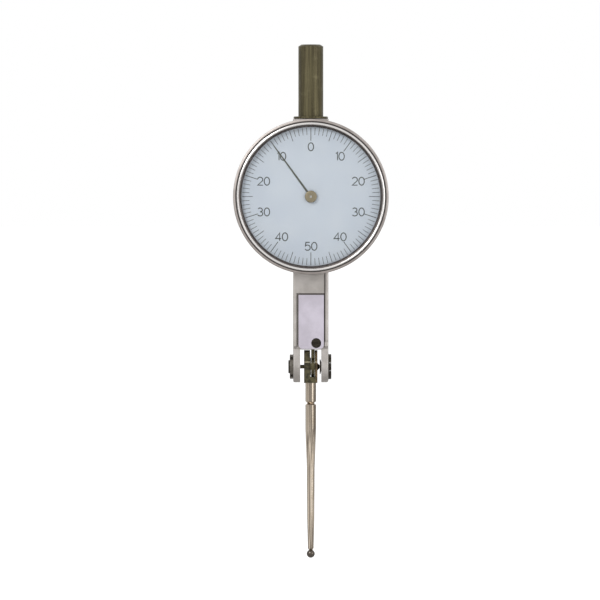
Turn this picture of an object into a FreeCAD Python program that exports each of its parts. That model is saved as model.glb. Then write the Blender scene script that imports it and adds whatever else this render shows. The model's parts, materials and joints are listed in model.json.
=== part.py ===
import FreeCAD, Part
import math
import os

# A lever-type dial test indicator with a plain round stem, a turning bezel and a long ball-ended stylus.
# Millimetres, +Z up. The origin is on the stem's axis, at the top face of its collar. X points to the right
# of someone reading the dial and Y points away from them, so the dial faces -Y.

# ---- clearances ----------------------------------------------------------------------------------
press_gap = 0.01        # radial, between a pressed or screwed-in part and its hole
running_gap = 0.03      # radial, round a shaft that turns in its bearing
end_play = 0.05         # along a shaft, between a shoulder and its bearing
free_gap = 0.30         # between parts that pass each other
stop_gap = 0.02         # between the resting lever and what it leans on
cut_over = 0.1          # how far a cut runs past the face that it opens

# ---- stem ----------------------------------------------------------------------------------------
stem_radius = 3.0
stem_length = 17.3
stem_chamfer_height = 0.45
stem_chamfer_depth = 0.7
collar_radius = 4.15
collar_thickness = 0.6
collar_rounding = 0.2
spigot_radius = 2.0     # the threaded end that screws into the body
spigot_length = 5.2
spigot_chamfer = 0.4

# ---- body: a slim bar with a shallow cup for the dial and a fork below ---------------------------
bar_width = 8.5
bar_front = 4.5         # from the stem's axis forward
bar_back = 5.0          # from the stem's axis backward
bar_edge_radius = 0.4
side_wall = 1.0
front_wall = 1.0
back_wall = 0.8
top_solid = 8.4         # solid metal above the cavity, for the stem's thread
pivot_drop = 60.4       # from the origin down to the fork's pivot
ear_radius = 3.8
fork_gap = 5.1
septum = 4.6            # metal between the cavity and the fork
lever_slot_depth = 3.8  # front to back

# ---- dial cup and bezel --------------------------------------------------------------------------
cup_floor = 0.8
cup_rim_wall = 0.95
cup_depth = 3.5         # from the bar's front face to the rim's front edge
cup_back_chamfer = 0.5
bezel_radius = 18.6
bezel_rear_wall = 1.3   # from the bezel's outer radius in to its bore round the cup
bezel_front_wall = 1.64 # from the bezel's outer radius in to the crystal's seat
bezel_rear_gap = 0.7    # the bezel starts this far in front of the bar's front face
bezel_front = 10.9      # from the stem's axis forward
bezel_shoulder = 0.4    # thickness of the inner shoulder that carries the dial
bezel_shoulder_reach = 1.0
knurl_teeth = 110
knurl_depth = 0.22
knurl_width = 3.5
bezel_band_chamfer = 0.35
crest_inset = 1.1       # from the bezel's outer radius in to its polished front ring
crest_half_width = 0.28
crest_height = 0.18
crest_groove_width = 0.26
crest_groove_depth = 0.4
bezel_lip_drop = 0.3    # the inner lip stands this far behind the bezel's front
ring_wire = 0.4         # bezel spring ring, height of its section
ring_seat = 0.4         # depth of the ring's groove in the cup
ring_reach = 0.25       # how far the ring stands out of that groove
ring_opening = 8.0      # degrees
dial_thickness = 0.4
dial_hole_radius = 1.2
dial_edge_gap = 0.05    # radial, round the dial and its spacer in the bezel, beyond the crystal's gap
spacer_thickness = 0.3
crystal_gap = 1.05      # between dial and crystal
crystal_thickness = 0.8
crystal_chamfer = 0.15

# ---- front plate and side cover ------------------------------------------------------------------
plate_width = 6.1
plate_height = 13.0
plate_thickness = 0.65
plate_corner = 1.0
plate_recess = 0.6
plate_left_gap = 0.5
plate_right_gap = 0.2
plate_top_gap = 0.4
plate_bottom_gap = 0.2
hatch_edge = 1.0        # ledge round the opening behind the plate
plate_screw_head = 1.1  # radius
plate_screw_shank = 0.5
plate_screw_length = 1.9
plate_screw_head_height = 0.4
plate_screw_gap = 0.1   # round the head
plate_screw_proud = 0.05
plate_screw_side = 1.85 # from the plate's right edge
plate_screw_rise = 1.4  # above the plate's lower edge
cover_thickness = 0.9
cover_top_drop = 25.9   # from the bar's top face to the cover's upper end
cover_overlap = 2.1     # the cover's lower end stands this far above the fork's root
cover_end_gap = 0.06
cover_seam_chamfer = 0.14
cover_screw_head = 0.9
cover_screw_head_height = 0.5
cover_screw_shank = 0.4
cover_screw_length = 1.0
cover_screw_inset = 1.4 # from the cover's ends
cover_screw_edge = 1.7  # from the bar's front and back faces
web_height = 2.6        # bridge across the cavity that takes the upper screws
web_depth = 1.05

# ---- rear dovetail rail --------------------------------------------------------------------------
rail_width = 6.0        # across its widest face
rail_height = 1.5
rail_angle = 60.0       # degrees
rail_top_drop = 3.0
rail_length = 34.0

# ---- gear train ----------------------------------------------------------------------------------
sector_module = 0.2
sector_circle_teeth = 402   # teeth on the whole circle that the sector is cut from
sector_teeth = 7            # teeth that are cut
arbor_pinion_teeth = 10
crown_module = 0.12
crown_teeth = 85
pointer_pinion_teeth = 12
pinion_addendum = 0.8       # in modules
wheel_addendum = 0.55       # in modules, short so that the few-toothed pinions need no undercut
tooth_dedendum = 1.15       # in modules
flank_angle = 20.0          # degrees
sector_backlash = 0.06
crown_backlash = 0.05
travel_per_turn = 1.0       # ball travel for one turn of the needle
lever_range = 1.4           # degrees
arbor_forward = 1.5         # crown arbor in front of the stem's axis
arbor_radius = 0.4
arbor_pivot_radius = 0.22
arbor_pinion_width = 1.2
arbor_bearing_radius = 0.9
arbor_bearing_inset = 0.1
crown_face = 0.9            # radial length of the crown teeth
crown_rim = 0.4             # metal behind the crown teeth
crown_web = 0.3
crown_hub_radius = 0.9
crown_hub_width = 0.5
crown_holes = 5
crown_hole_radius = 0.95
collet_radius = 0.8
collet_width = 0.5
hairspring_turns = 3
hairspring_pitch = 0.6
hairspring_start_gap = 0.2  # between the collet and the spring's inner end
hairspring_thickness = 0.09
hairspring_width = 0.2
hairspring_stud_radius = 0.35

# ---- needle shaft and its bridge -----------------------------------------------------------------
pointer_shaft_radius = 0.3
pointer_rear_pivot = 0.2
pointer_pinion_width = 1.1
pointer_front_bearing = 0.8
pointer_rear_bearing = 0.55
bridge_thickness = 0.6
bridge_width = 3.2
bridge_reach = 9.9          # from the needle's axis to each rounded end
bridge_boss_radius = 3.0
bridge_arm = 0.7
bridge_gap = 0.1            # between the bridge's side and the window in the cup's floor
bridge_side = 0.8
bridge_half_height = 1.3
bridge_arm_overhang = 0.7
bridge_screw_head = 1.1
bridge_screw_head_height = 0.4
bridge_screw_shank = 0.5
bridge_screw_length = 1.9
bridge_head_gap = 0.15      # between the bridge's screw heads and the dial
pillar_radius = 1.6
window_half_width = 2.9
window_half_height = 6.6
hub_radius = 1.45
hub_height = 0.7
hub_rounding = 0.25
needle_gap = 0.1            # between the dial and the needle
needle_margin = 1.2         # from the needle's tip to the dial's edge
needle_root_width = 0.42
needle_tip_width = 0.16
needle_thickness = 0.1
needle_boss_radius = 0.95
needle_rest_angle = 36.0    # degrees to the left of the dial's top

# ---- lever, spindle and stylus -------------------------------------------------------------------
lever_left = 0.1            # X of the lever's left face
lever_thickness = 0.8
lever_hub_radius = 2.4
lever_root_width = 2.2
lever_end_width = 1.6
lever_end_gap = 5.0         # the lever ends this far below the arbor pinion's axis
sector_thickness = 0.8
sector_tail = 8.5           # the sector's tail below its teeth, lying on the lever
sector_tail_width = 1.9
sector_neck_drop = 3.2      # from the pitch circle down to where the tail begins
sector_rim = 0.8            # metal below the teeth at the sector's ends
rivet_radius = 0.35
rivet_head_radius = 0.6
rivet_head_height = 0.2
spindle_radius = 0.75
spindle_collar_radius = 0.95
journal_radius = 0.45
journal_cone_length = 0.42
collar_cone_length = 0.36
holder_width = 3.24
holder_depth = 3.8
holder_top_radius = 4.0
holder_drop = 3.85          # from the pivot to the holder's lower face
holder_step_rise = 1.2      # the line round the holder, above the pivot
holder_step = 0.12
leaf_thickness = 0.2
leaf_radius = 2.2
shank_radius = 1.3
shank_spigot_radius = 0.8
shank_spigot_length = 0.95
shank_straight = 11.25
groove_drop = 4.95
groove_half_width = 0.4
groove_radius = 0.8
taper_stations = [(20.45, 0.95), (32.95, 0.875), (40.15, 0.70)]     # (below the holder, radius)
ball_radius = 1.0
ball_pin_radius = 0.45
ball_pin_depth = 0.45

# ---- fork hardware -------------------------------------------------------------------------------
pivot_screw_radius = 1.6
lock_nut_radius = 2.95
lock_nut_thickness = 0.82
lock_nut_notch = 0.9
lock_nut_notch_depth = 0.45
left_screw_proud = 0.35
driver_slot_width = 0.5
driver_slot_depth = 0.3
right_head_radius = 3.05
right_head_thickness = 0.72
right_head_chamfer = 0.1
right_head_slot_width = 1.9
right_head_slot_depth = 0.4
cone_seat_radius = 0.62
cone_seat_depth = 0.55
washer_radius = 1.8
washer_hole_radius = 0.6
washer_thickness = 0.18
washer_dish = 0.22
washer_seat = 0.4           # width of the flat ring that lies on the ear

# ---- springs and stops inside the bar ------------------------------------------------------------
spring_thickness = 0.15
spring_width = 0.7
spring_foot_rise = 10.5     # above the pivot
spring_tip_rise = 22.5
spring_stud_radius = 0.6
stop_pin_radius = 0.5
stop_pin_rise = 29.0
spring_stud_length = 3.6
spring_curl = 0.5
stop_pin_length = 4.4
pin_seat = 0.6              # how deep the inner pins sit in the side wall

# ---- places that follow from the sizes above -----------------------------------------------------
bar_half = bar_width / 2
fork_half = fork_gap / 2
bar_top = -collar_thickness
pivot_z = -pivot_drop
fork_root = pivot_z + holder_top_radius + free_gap
cavity_half = bar_half - side_wall
cavity_front = -bar_front + front_wall
cavity_back = bar_back - back_wall
cavity_top = bar_top - top_solid
cavity_bottom = fork_root + septum

sector_radius = sector_module * sector_circle_teeth / 2
arbor_pinion_radius = sector_module * arbor_pinion_teeth / 2
crown_radius = crown_module * crown_teeth / 2
pointer_pinion_radius = crown_module * pointer_pinion_teeth / 2
centre_distance = sector_radius + arbor_pinion_radius
arbor_y = -arbor_forward
dial_z = pivot_z + math.sqrt(centre_distance ** 2 - arbor_y ** 2)
arbor_angle = math.degrees(math.asin(-arbor_y / centre_distance))
needle_ratio = sector_circle_teeth / arbor_pinion_teeth * crown_teeth / pointer_pinion_teeth
stylus_length = travel_per_turn * needle_ratio / (2 * math.pi)
sector_pitch_angle = 360.0 / sector_circle_teeth
lever_lean = arbor_angle - lever_range / 2      # the resting lever's lean towards the dial, in degrees

crown_outer = crown_radius + crown_face / 2
crown_inner = crown_radius - crown_face / 2
crown_tip_x = -pointer_pinion_radius + crown_module * wheel_addendum
crown_root_x = -pointer_pinion_radius - crown_module * tooth_dedendum
crown_back_x = crown_root_x - crown_rim
pinion_y = arbor_y - crown_radius

cup_front = -bar_front - cup_depth
cup_floor_front = -bar_front - cup_floor
bezel_rear = -bar_front - bezel_rear_gap
bezel_bore = bezel_radius - bezel_rear_wall
cup_radius = bezel_bore - end_play
crest_radius = bezel_radius - crest_inset
shoulder_rear = cup_front - end_play
dial_back = shoulder_rear - bezel_shoulder
dial_front = dial_back - dial_thickness
crystal_back = dial_front - crystal_gap
crystal_front = crystal_back - crystal_thickness
crystal_radius = bezel_radius - bezel_front_wall - press_gap
dial_edge_radius = crystal_radius - dial_edge_gap
needle_length = dial_edge_radius - needle_margin
needle_back = dial_front - needle_gap
needle_front = needle_back - needle_thickness

lever_right = lever_left + lever_thickness
lever_direction = math.radians(lever_lean)

bridge_front = dial_back + bridge_head_gap + bridge_screw_head_height
bridge_back = bridge_front + bridge_thickness
arm_front = arbor_y - crown_inner + free_gap
arm_back = arm_front + bridge_arm
bridge_screw_offset = bridge_reach - bridge_width / 2
ring_y = (bezel_rear + shoulder_rear) / 2

cover_top = bar_top - cover_top_drop
cover_bottom = fork_root + cover_overlap
cover_face = bar_half - cover_thickness
cover_screw_y = (-bar_front + cover_screw_edge, bar_back - cover_screw_edge)
cover_screw_z = (cover_top - cover_screw_inset, cover_bottom + cover_screw_inset)
plate_right = cover_face - plate_right_gap
plate_left = plate_right - plate_width
plate_bottom = fork_root + plate_bottom_gap
plate_top = plate_bottom + plate_height
plate_back = -bar_front + plate_recess
plate_screw_x = plate_right - plate_screw_side
plate_screw_z = plate_bottom + plate_screw_rise

bridge_screw_end = bridge_front + bridge_screw_length
arbor_tip = bar_half - arbor_bearing_inset
cover_screw_seat = bar_half - cover_screw_head_height
plate_screw_end = plate_back + plate_screw_length
plate_seat = plate_back - plate_thickness + plate_screw_head_height - plate_screw_proud
ring_groove_radius = bezel_bore + ring_reach
lever_height = centre_distance - lever_end_gap
rivet_rises = (sector_radius - sector_tail + sector_tail_width / 2, lever_height - lever_end_width / 2)
hub_front = needle_front - hub_height
hairspring_x = (crown_back_x - free_gap - hairspring_width - collet_width / 2,
                crown_back_x - free_gap - collet_width / 2)
hairspring_reach = collet_radius + hairspring_start_gap + (hairspring_turns + 0.25) * hairspring_pitch
hairspring_stud_y = arbor_y + hairspring_reach + hairspring_thickness / 2 + hairspring_stud_radius + press_gap
leaf_left = lever_left - end_play - leaf_thickness
shank_top = pivot_z - holder_drop
shank_socket = shank_top + shank_spigot_length + press_gap
ball_z = pivot_z - stylus_length
ball_top = ball_z + math.sqrt(ball_radius ** 2 - ball_pin_radius ** 2)


def lever_edge(rise, side):
    """(y, z) of a point on the resting lever's front (-1) or back (1) edge, at a height above the pivot."""
    share = rise / lever_height
    half = (lever_root_width * (1 - share) + lever_end_width * share) / 2 * side
    return (half * math.cos(lever_direction) - rise * math.sin(lever_direction),
            pivot_z + half * math.sin(lever_direction) + rise * math.cos(lever_direction))


stop_y, stop_z = lever_edge(stop_pin_rise, 1)
spring_stud_y = cavity_front + spring_stud_radius + stop_gap
inner_pins = {      # radius, y, z of the pins that stand on the left wall inside the bar
    "spring stud": (spring_stud_radius, spring_stud_y, pivot_z + spring_foot_rise),
    "stop pin": (stop_pin_radius, stop_y + stop_pin_radius + stop_gap, stop_z),
    "hairspring stud": (hairspring_stud_radius, hairspring_stud_y, dial_z),
}


# ---- helpers -------------------------------------------------------------------------------------
def vector(x, y, z):
    return FreeCAD.Vector(x, y, z)


X, Y, Z = vector(1, 0, 0), vector(0, 1, 0), vector(0, 0, 1)
PIVOT = vector(0, 0, pivot_z)
ARBOR = vector(0, arbor_y, dial_z)
DIAL = vector(0, 0, dial_z)
ORIGIN = vector(0, 0, 0)


def block(x, y, z):
    """A box between three (low, high) pairs."""
    return Part.makeBox(x[1] - x[0], y[1] - y[0], z[1] - z[0], vector(x[0], y[0], z[0]))


def rod(radius, span, axis, at):
    """A cylinder along an axis through the point at, over a (low, high) span of that axis."""
    start = at + axis * (span[0] - at.dot(axis))
    return Part.makeCylinder(radius, span[1] - span[0], start, axis)


def wire(points, place):
    """A closed wire. A point of two numbers ends a line, one of four is an arc's middle and its end."""
    edges = []
    here = place(*points[0])
    for point in points[1:] + points[:1]:
        end = place(*point[-2:])
        if len(point) == 4:
            edges.append(Part.Arc(here, place(*point[:2]), end).toShape())
        else:
            edges.append(Part.makeLine(here, end))
        here = end
    return Part.Wire(edges)


def turned(points, axis, at):
    """A body of revolution from (radius, place along the axis) points, round the axis through at."""
    outward = Z if axis.x else X
    foot = at - axis * at.dot(axis)
    face = Part.Face(wire(points, lambda r, along: foot + outward * r + axis * along))
    return face.revolve(foot, axis, 360)


def side_plate(points, x, at=PIVOT):
    """A plate between two X places, cut to an outline of (y, z) points counted from at."""
    face = Part.Face(wire(points, lambda y, z: vector(x[0], at.y + y, at.z + z)))
    return face.extrude(X * (x[1] - x[0]))


def face_plate(points, y, at=DIAL):
    """A plate between two Y places, cut to an outline of (x, z) points counted from at."""
    face = Part.Face(wire(points, lambda x, z: vector(at.x + x, y[0], at.z + z)))
    return face.extrude(Y * (y[1] - y[0]))


def joined(shapes):
    """One solid from shapes that touch or overlap."""
    return shapes[0].multiFuse(shapes[1:]).removeSplitter()


def polar(radius, degrees):
    return radius * math.cos(math.radians(degrees)), radius * math.sin(math.radians(degrees))


def lean(shape):
    """Turns a part drawn upright over the pivot to the resting lever's lean."""
    return shape.rotated(PIVOT, X, lever_lean)


def stadium(half_length, half_width, upright):
    """Outline with two round ends, as points for wire()."""
    straight = half_length - half_width
    points = [(-half_width, -straight), (0, -half_length, half_width, -straight), (half_width, straight),
              (0, half_length, -half_width, straight)]
    if upright:
        return points
    return [tuple(v for pair in zip(p[1::2], p[0::2]) for v in pair) for p in points]


def involute(angle):
    return math.tan(angle) - angle


def tooth_outline(module, pitch_radius, addendum, backlash, tooth_angle, first, kept):
    """Points of involute teeth on a pitch circle, anticlockwise from the middle of the first."""
    flank = math.radians(flank_angle)
    base = pitch_radius * math.cos(flank)
    root = pitch_radius - module * tooth_dedendum
    tip = pitch_radius + module * addendum
    stations = sorted({root, max(root, base), pitch_radius, tip})
    at_pitch = (math.pi * module - backlash) / 4 / pitch_radius + involute(flank)
    halves = [math.degrees(at_pitch - involute(math.acos(min(1, base / r)))) for r in stations]
    points = []
    for k in range(kept):
        middle = first + k * tooth_angle
        points += [polar(r, middle - half) for r, half in zip(stations, halves)]
        points += [polar(r, middle + half) for r, half in zip(stations[::-1], halves[::-1])]
    return points


def pinion_outline(module, teeth, backlash, first):
    """A whole pinion's outline. Angles run from the first coordinate towards the second."""
    return tooth_outline(module, module * teeth / 2, pinion_addendum, backlash, 360.0 / teeth, first, teeth)


# ---- frame: body, stem and covers ----------------------------------------------------------------
def bar_blank():
    """The bar's full outer form, before anything is cut from it: a side profile with rounded long edges."""
    step = bar_front - ear_radius
    waist = ear_radius + step
    outline = [(-bar_front, bar_top - pivot_z), (-bar_front, waist + step), (-ear_radius, waist),
               (-ear_radius, 0), (0, -ear_radius, ear_radius, 0), (ear_radius, waist),
               (bar_back, waist + bar_back - ear_radius), (bar_back, bar_top - pivot_z)]
    blank = side_plate(outline, (-bar_half, bar_half))
    long_edges = [e for e in blank.Edges
                  if abs(abs(e.BoundBox.XMin) - bar_half) < 1e-6 and e.BoundBox.XLength < 1e-6
                  and e.BoundBox.ZMin < bar_top - 1e-6]
    return blank.makeFillet(min(bar_edge_radius, side_wall * 0.6), long_edges)


def side_hole(radius, x, y, z):
    """A round hole or pin along X."""
    return rod(radius, x, X, vector(0, y, z))


def dial_cup():
    """The shallow cup behind the dial, with the spring ring's groove round its rim."""
    groove = ring_wire / 2 + end_play
    floor_edge = cup_radius - cup_rim_wall
    return turned([(0, cup_floor_front), (floor_edge, cup_floor_front), (floor_edge, cup_front),
                   (cup_radius, cup_front), (cup_radius, ring_y - groove),
                   (cup_radius - ring_seat, ring_y - groove), (cup_radius - ring_seat, ring_y + groove),
                   (cup_radius, ring_y + groove), (cup_radius, -bar_front - cup_back_chamfer),
                   (cup_radius - cup_back_chamfer, -bar_front), (0, -bar_front)], Y, DIAL)


def dovetail_rail():
    """The rail along the bar's back that a holder clamps."""
    outer = rail_width / 2
    neck = outer - rail_height / math.tan(math.radians(rail_angle))
    top = bar_top - rail_top_drop
    corners = [(-neck, bar_back), (neck, bar_back), (outer, bar_back + rail_height),
               (-outer, bar_back + rail_height)]
    face = Part.Face(wire(corners, lambda x, y: vector(x, y, top - rail_length)))
    return face.extrude(Z * rail_length)


def body_casting():
    """Bar, dial cup, fork and rear rail in one piece, hollowed for the mechanism."""
    pillars = [rod(pillar_radius, (bridge_back, cup_floor_front), Y, DIAL + Z * (side * bridge_screw_offset))
               for side in (-1, 1)]
    outside = joined([bar_blank(), dial_cup(), dovetail_rail()] + pillars)
    through = (-2 * bar_back, 2 * bar_back)
    cavity = block((-cavity_half, cavity_half), (cavity_front, cavity_back), (cavity_bottom, cavity_top))
    bay_top = cover_top + cover_end_gap
    cover_bay = block((cover_face, bar_width), through, (cover_bottom - cover_end_gap, bay_top))
    bay_mouth = block((0, cover_face), (cavity_front, cavity_back), (cavity_bottom, bay_top))
    web = block((cover_face - web_depth, cover_face), (cavity_front, cavity_back),
                (cover_screw_z[0] - web_height / 2, cover_screw_z[0] + web_height / 2))
    hollow = cavity.fuse(bay_mouth).cut(web)
    fork = block((-fork_half, fork_half), through, (pivot_z - 2 * ear_radius, fork_root))
    lever_slot = block((lever_left - free_gap, lever_right + free_gap),
                       (-lever_slot_depth / 2, lever_slot_depth / 2),
                       (fork_root - cut_over, cavity_bottom + cut_over))
    window = block((-window_half_width, window_half_width),
                   (cup_floor_front - cut_over, cavity_front + cut_over),
                   (dial_z - window_half_height, dial_z + window_half_height))
    recess = block((plate_left - plate_left_gap, cover_face), (-2 * bar_front, plate_back),
                   (fork_root, plate_top + plate_top_gap))
    hatch = block((plate_left + hatch_edge, plate_right - hatch_edge),
                  (plate_back - cut_over, cavity_front + cut_over),
                  (cavity_bottom + hatch_edge, plate_top - hatch_edge))
    bores = [rod(spigot_radius + press_gap, (bar_top - spigot_length - free_gap, bar_top), Z, ORIGIN),
             rod(pivot_screw_radius + press_gap, (-bar_width, bar_width), X, PIVOT),
             rod(arbor_bearing_radius + press_gap, (-bar_width, bar_width), X, ARBOR),
             rod(plate_screw_shank + press_gap, (plate_back - cut_over, plate_screw_end), Y,
                 vector(plate_screw_x, 0, plate_screw_z))]
    bores += [rod(bridge_screw_shank + press_gap, (bridge_back - cut_over, bridge_screw_end + press_gap), Y,
                  DIAL + Z * (side * bridge_screw_offset)) for side in (-1, 1)]
    bores += [side_hole(cover_screw_shank + press_gap, (cover_face - cover_screw_length, cover_face), y, z)
              for y in cover_screw_y for z in cover_screw_z]
    bores += [side_hole(radius + press_gap, (-cavity_half - pin_seat, -cavity_half), y, z)
              for radius, y, z in inner_pins.values()]
    openings = [hollow.fuse(window), cover_bay, fork, lever_slot, recess, hatch]
    return outside.cut(Part.makeCompound(openings + bores))


def front_plate():
    """The plate let into the bar's front above the fork, with its two lower corners rounded."""
    width, height, r = plate_width, plate_height, plate_corner
    bend = r * (1 - math.sqrt(0.5))
    outline = [(0, height), (width, height), (width, r), (width - bend, bend, width - r, 0), (r, 0),
               (bend, bend, 0, r)]
    corner = vector(plate_left, 0, plate_bottom)
    plate = face_plate(outline, (plate_back - plate_thickness, plate_back), corner)
    at = vector(plate_screw_x, 0, plate_screw_z)
    seat = rod(plate_screw_head + plate_screw_gap, (-2 * bar_front, plate_seat), Y, at)
    hole = rod(plate_screw_shank + press_gap, (plate_seat, plate_back), Y, at)
    return plate.cut(seat.fuse(hole))


def slotted_screw(head_radius, shank_radius, head_front, seat, end, axis, at):
    """A cheese-head screw along an axis: head from head_front to seat, shank on to end, one driver slot."""
    screw = turned([(0, head_front), (head_radius, head_front), (head_radius, seat), (shank_radius, seat),
                    (shank_radius, end), (0, end)], axis, at)
    inward = 1 if end > head_front else -1
    depth = inward * driver_slot_depth
    half = driver_slot_width / 2
    low, high = sorted((head_front - inward, head_front + depth))
    length = (-2 * head_radius, 2 * head_radius)
    if axis.x:
        slot = block((low, high), (at.y + length[0], at.y + length[1]), (at.z - half, at.z + half))
    else:
        slot = block((at.x + length[0], at.x + length[1]), (low, high), (at.z - half, at.z + half))
    return screw.cut(slot)


def front_plate_screw():
    at = vector(plate_screw_x, 0, plate_screw_z)
    return slotted_screw(plate_screw_head, plate_screw_shank, plate_seat - plate_screw_head_height,
                         plate_seat, plate_screw_end, Y, at)


def side_cover():
    """The plate that closes the bar's right side, cut from the bar's own outer form so that it lies flush."""
    whole = (cover_bottom, cover_top)
    cover = bar_blank().common(block((cover_face, bar_width), (-bar_width, bar_width), whole))
    cuts = []
    for y in cover_screw_y:
        for z in cover_screw_z:
            cuts.append(side_hole(cover_screw_shank + press_gap, (cover_face, bar_half), y, z))
            cuts.append(side_hole(cover_screw_head + press_gap, (cover_screw_seat, bar_half), y, z))
    seam = (cover_face, cover_face + cover_seam_chamfer)
    cuts.append(block(seam, (-bar_width, -bar_front + cover_seam_chamfer), whole))
    cuts.append(block(seam, (bar_back - cover_seam_chamfer, bar_width), whole))
    return cover.cut(Part.makeCompound(cuts))


def side_cover_screws():
    end = cover_face - cover_screw_length
    return Part.makeCompound([slotted_screw(cover_screw_head, cover_screw_shank, bar_half, cover_screw_seat,
                                            end, X, vector(0, y, z))
                              for y in cover_screw_y for z in cover_screw_z])


def stem():
    """The round shank with its thin collar and the threaded end that goes into the body."""
    rim = collar_radius - collar_rounding
    bend = collar_radius - collar_rounding * (1 - math.sqrt(0.5))
    low = -collar_thickness
    tip = spigot_radius - spigot_chamfer
    return turned([(0, stem_length), (stem_radius - stem_chamfer_depth, stem_length),
                   (stem_radius, stem_length - stem_chamfer_height), (stem_radius, 0), (rim, 0),
                   (bend, -collar_rounding + bend - rim, collar_radius, -collar_rounding),
                   (collar_radius, low + collar_rounding),
                   (bend, low + collar_rounding - (bend - rim), rim, low), (spigot_radius, low),
                   (spigot_radius, low - spigot_length + spigot_chamfer), (tip, low - spigot_length),
                   (0, low - spigot_length)], Z, ORIGIN)


# ---- frame: the fork's screws --------------------------------------------------------------------
def cone_seat(x, inward):
    """The hollow cone in a pivot screw's end that carries the spindle's point."""
    return turned([(0, x), (cone_seat_radius, x), (0, x - inward * cone_seat_depth)], X, PIVOT)


def pivot_screw_left():
    outer = -bar_half - lock_nut_thickness - left_screw_proud
    screw = rod(pivot_screw_radius, (outer, -fork_half), X, PIVOT)
    half = driver_slot_width / 2
    slot = block((outer - 1, outer + driver_slot_depth), (-ear_radius, ear_radius),
                 (pivot_z - half, pivot_z + half))
    return screw.cut(slot).cut(cone_seat(-fork_half, 1))


def lock_nut():
    """A round nut with four spanner notches on the left pivot screw."""
    low, high = -bar_half - lock_nut_thickness, -bar_half
    nut = rod(lock_nut_radius, (low, high), X, PIVOT)
    half = lock_nut_notch / 2
    reach = lock_nut_radius - lock_nut_notch_depth
    cuts = [rod(pivot_screw_radius + press_gap, (low, high), X, PIVOT)]
    for turn in (45, 135, 225, 315):
        notch = block((low - 1, high + 1), (-half, half), (pivot_z + reach, pivot_z + lock_nut_radius + 1))
        cuts.append(notch.rotated(PIVOT, X, turn))
    return nut.cut(Part.makeCompound(cuts))


def pivot_screw_right():
    """The broad-headed pivot screw. Its slot runs from front to back."""
    outer = bar_half + right_head_thickness
    rim = right_head_radius - right_head_chamfer
    screw = turned([(0, outer), (rim, outer), (right_head_radius, outer - right_head_chamfer),
                    (right_head_radius, bar_half), (pivot_screw_radius, bar_half),
                    (pivot_screw_radius, fork_half), (0, fork_half)], X, PIVOT)
    half = right_head_slot_width / 2
    slot = block((outer - right_head_slot_depth, outer + 1), (-2 * ear_radius, 2 * ear_radius),
                 (pivot_z - half, pivot_z + half))
    return screw.cut(slot).cut(cone_seat(fork_half, -1))


def dished_washer():
    """A thin dished washer between the right ear and the holder."""
    flat = fork_half
    thin = washer_thickness
    return turned([(washer_hole_radius, flat), (washer_hole_radius, flat - thin),
                   (washer_radius, flat - thin - washer_dish), (washer_radius, flat - washer_dish),
                   (washer_hole_radius + washer_seat, flat)], X, PIVOT)


# ---- bezel ---------------------------------------------------------------------------------------
def bezel():
    """The turning ring: knurled band, polished crest in front, shoulder inside to carry the dial."""
    band = bezel_radius - knurl_depth
    front = -bezel_front
    lip = front + bezel_lip_drop
    foot = front + crest_height
    groove = ring_wire / 2 + 2 * end_play
    crest_in, crest_out = crest_radius - crest_half_width, crest_radius + crest_half_width
    seat = crystal_radius + press_gap
    shoulder = bezel_bore - bezel_shoulder_reach
    ring = turned([(bezel_bore, bezel_rear), (bezel_bore, ring_y + groove),
                   (ring_groove_radius, ring_y + groove), (ring_groove_radius, ring_y - groove),
                   (bezel_bore, ring_y - groove), (bezel_bore, shoulder_rear), (shoulder, shoulder_rear),
                   (shoulder, dial_back), (seat, dial_back), (seat, lip),
                   (crest_in, foot), (crest_radius, front, crest_out, foot),
                   (crest_out, foot + crest_groove_depth),
                   (crest_out + crest_groove_width, foot + crest_groove_depth),
                   (crest_out + crest_groove_width, foot), (band - bezel_band_chamfer, foot),
                   (band, foot + bezel_band_chamfer), (band, bezel_rear - bezel_band_chamfer),
                   (band - bezel_band_chamfer, bezel_rear)], Y, DIAL)
    step = 180.0 / knurl_teeth
    star = [polar(bezel_radius if k % 2 else band, k * step) for k in range(2 * knurl_teeth)]
    middle = (bezel_rear + foot) / 2
    knurl = face_plate(star, (middle - knurl_width / 2, middle + knurl_width / 2))
    core = rod((ring_groove_radius + band) / 2, (middle - knurl_width, middle + knurl_width), Y, DIAL)
    return joined([ring, knurl.cut(core)])


def dial_face():
    plate = rod(dial_edge_radius, (dial_front, dial_back), Y, DIAL)
    return plate.cut(rod(dial_hole_radius, (dial_front, dial_back), Y, DIAL))


def spacer_ring():
    span = (crystal_back, dial_front)
    inside = dial_edge_radius - spacer_thickness
    return rod(dial_edge_radius, span, Y, DIAL).cut(rod(inside, span, Y, DIAL))


def crystal():
    rim = crystal_radius - crystal_chamfer
    edge = crystal_front + crystal_chamfer
    return turned([(0, crystal_back), (crystal_radius, crystal_back), (crystal_radius, edge),
                   (rim, crystal_front), (0, crystal_front)], Y, DIAL)


def bezel_spring_ring():
    """An open ring, sprung into the cup's groove, that keeps the bezel on."""
    half = ring_wire / 2
    inner, outer = cup_radius - ring_seat + press_gap, cup_radius + ring_reach
    corners = [(inner, ring_y - half), (outer, ring_y - half), (outer, ring_y + half), (inner, ring_y + half)]
    face = Part.Face(wire(corners, lambda r, y: vector(r, y, dial_z)))
    return face.revolve(DIAL, Y, 360 - ring_opening)


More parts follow.
